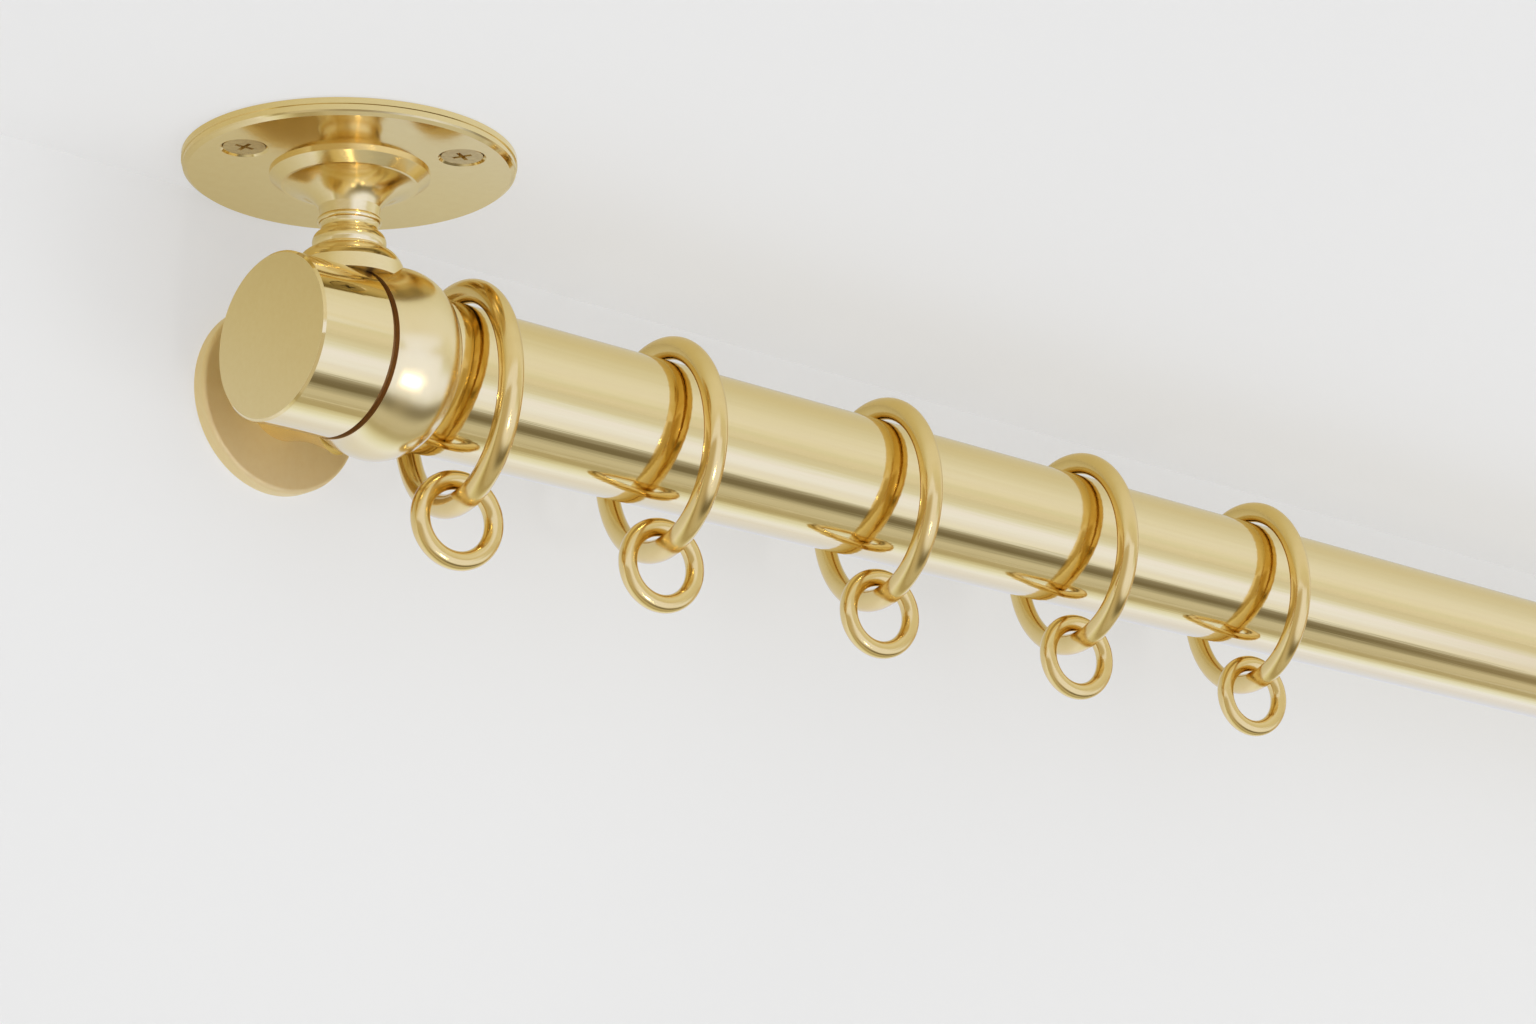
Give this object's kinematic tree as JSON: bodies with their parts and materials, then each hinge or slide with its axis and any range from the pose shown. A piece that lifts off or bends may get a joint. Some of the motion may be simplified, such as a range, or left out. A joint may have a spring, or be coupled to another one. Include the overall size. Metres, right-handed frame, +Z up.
{
  "type": "french return curtain rod",
  "caption": "Brass curtain pole on turned stems under round ceiling plates, returned to the wall at each end, with sliding rings and linked eyelets.",
  "frame": {"origin": "centre of the left ceiling plate, on the ceiling's face", "axes": "+X along the pole from the left plate to the right one, +Y to the wall, +Z up into the ceiling"},
  "size_m": [0.663, 0.102, 0.1028],
  "materials": {
    "polished_brass": "polished and lacquered",
    "steel": "zinc plated"
  },
  "bodies": {
    "pole_and_brackets": {"pole": "polished_brass", "end_plug_left": "polished_brass", "barrel_left": "polished_brass", "stem_left": "polished_brass", "stem_stud_left": "steel", "ceiling_plate_left": "polished_brass", "ceiling_screws_left": "polished_brass", "wall_disc_left": "polished_brass", "wall_stud_left": "steel", "end_plug_right": "polished_brass", "barrel_right": "polished_brass", "stem_right": "polished_brass", "stem_stud_right": "steel", "ceiling_plate_right": "polished_brass", "ceiling_screws_right": "polished_brass", "wall_disc_right": "polished_brass", "wall_stud_right": "steel"},
    "ring_1": {"ring_1": "polished_brass"},
    "eyelet_1": {"eyelet_1": "polished_brass"},
    "ring_2": {"ring_2": "polished_brass"},
    "eyelet_2": {"eyelet_2": "polished_brass"},
    "ring_3": {"ring_3": "polished_brass"},
    "eyelet_3": {"eyelet_3": "polished_brass"},
    "ring_4": {"ring_4": "polished_brass"},
    "eyelet_4": {"eyelet_4": "polished_brass"},
    "ring_5": {"ring_5": "polished_brass"},
    "eyelet_5": {"eyelet_5": "polished_brass"}
  },
  "joints": [
    {"name": "ring_1_slide", "type": "slide", "parent": "pole_and_brackets", "child": "ring_1", "axis": [1, 0, 0], "range_m": [-0.004, 0.0125]},
    {"name": "eyelet_1_swing", "type": "hinge", "parent": "ring_1", "child": "eyelet_1", "pos_m": [0.0265, 0, -0.0625], "axis": [0.1977, 0.9803, 0], "range_deg": [-66, 66]},
    {"name": "ring_2_slide", "type": "slide", "parent": "pole_and_brackets", "child": "ring_2", "axis": [1, 0, 0], "range_m": [-0.0125, 0.018]},
    {"name": "eyelet_2_swing", "type": "hinge", "parent": "ring_2", "child": "eyelet_2", "pos_m": [0.0797, 0, -0.0625], "axis": [0.196, 0.9806, 0], "range_deg": [-66, 66]},
    {"name": "ring_3_slide", "type": "slide", "parent": "pole_and_brackets", "child": "ring_3", "axis": [1, 0, 0], "range_m": [-0.018, 0.0185]},
    {"name": "eyelet_3_swing", "type": "hinge", "parent": "ring_3", "child": "eyelet_3", "pos_m": [0.1436, 0, -0.0625], "axis": [0.2266, 0.974, 0], "range_deg": [-66, 66]},
    {"name": "ring_4_slide", "type": "slide", "parent": "pole_and_brackets", "child": "ring_4", "axis": [1, 0, 0], "range_m": [-0.0185, 0.0185]},
    {"name": "eyelet_4_swing", "type": "hinge", "parent": "ring_4", "child": "eyelet_4", "pos_m": [0.2088, 0, -0.0625], "axis": [0.2317, 0.9728, 0], "range_deg": [-66, 66]},
    {"name": "ring_5_slide", "type": "slide", "parent": "pole_and_brackets", "child": "ring_5", "axis": [1, 0, 0], "range_m": [-0.0185, 0.3005]},
    {"name": "eyelet_5_swing", "type": "hinge", "parent": "ring_5", "child": "eyelet_5", "pos_m": [0.2741, 0, -0.0625], "axis": [0.2656, 0.9641, 0], "range_deg": [-66, 66]}
  ]
}
